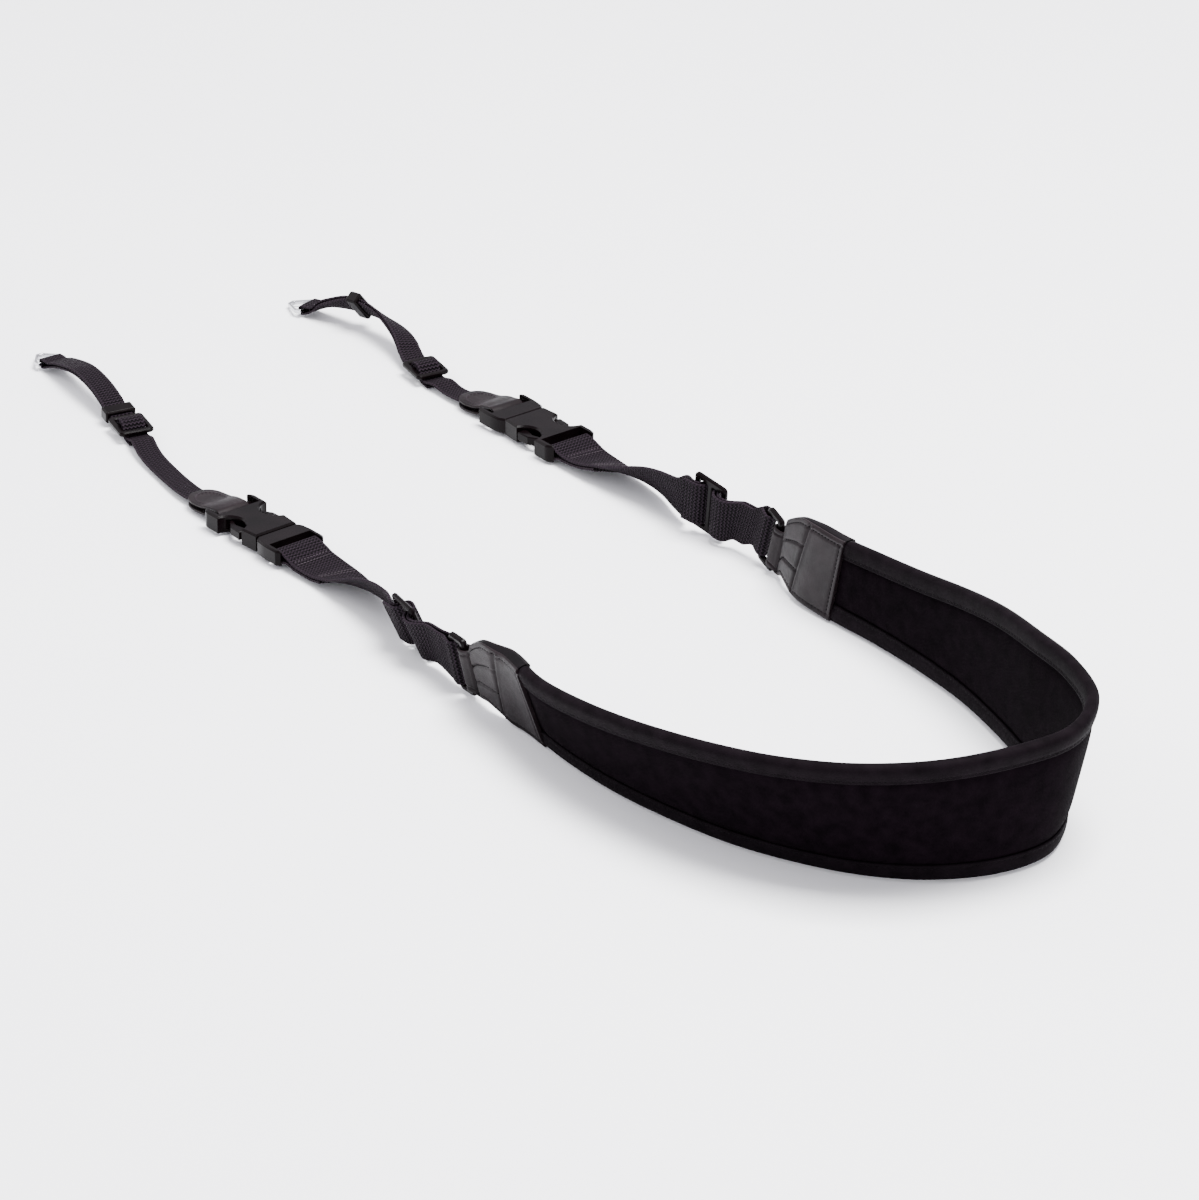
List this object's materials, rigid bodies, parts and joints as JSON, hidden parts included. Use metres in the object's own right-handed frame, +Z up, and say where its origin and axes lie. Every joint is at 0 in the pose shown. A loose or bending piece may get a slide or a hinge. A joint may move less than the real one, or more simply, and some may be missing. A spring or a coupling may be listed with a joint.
{
  "type": "camera neck strap",
  "caption": "Contoured neck strap for a camera: padded neck band, leather end tabs, webbing with tri-glides, side-release buckles, sliders and triangular lug rings.",
  "frame": {"origin": "middle of the strap's bounding box, on the surface it lies on", "axes": "+X from the lug rings towards the neck pad's bend, +Z up; the left arm is at -Y"},
  "size_m": [0.6772, 0.213, 0.0663],
  "materials": {
    "neoprene": "matt knitted facing on foam",
    "binding_tape": "matt tape with a stitch line",
    "black_leather": "fine grain, slight sheen",
    "webbing": "ribbed weave",
    "black_plastic": "moulded, satin",
    "ring_steel": "bright plated wire"
  },
  "bodies": {
    "root": {"neck_pad": "neoprene", "pad_binding_upper": "binding_tape", "pad_binding_lower": "binding_tape", "end_tab_left": "black_leather", "end_tab_right": "black_leather", "leather_patch_left": "black_leather", "leather_patch_right": "black_leather", "wide_webbing_left": "webbing", "wide_webbing_right": "webbing", "narrow_webbing_left": "webbing", "narrow_webbing_right": "webbing", "loop_ring_left": "black_plastic", "loop_ring_right": "black_plastic", "triglide_left": "black_plastic", "triglide_right": "black_plastic", "buckle_socket_left": "black_plastic", "buckle_socket_right": "black_plastic", "buckle_plug_left": "black_plastic", "buckle_plug_right": "black_plastic", "slider_left": "black_plastic", "slider_right": "black_plastic", "keeper_left": "black_plastic", "keeper_right": "black_plastic", "lug_ring_left": "ring_steel", "lug_ring_right": "ring_steel"}
  },
  "joints": []
}
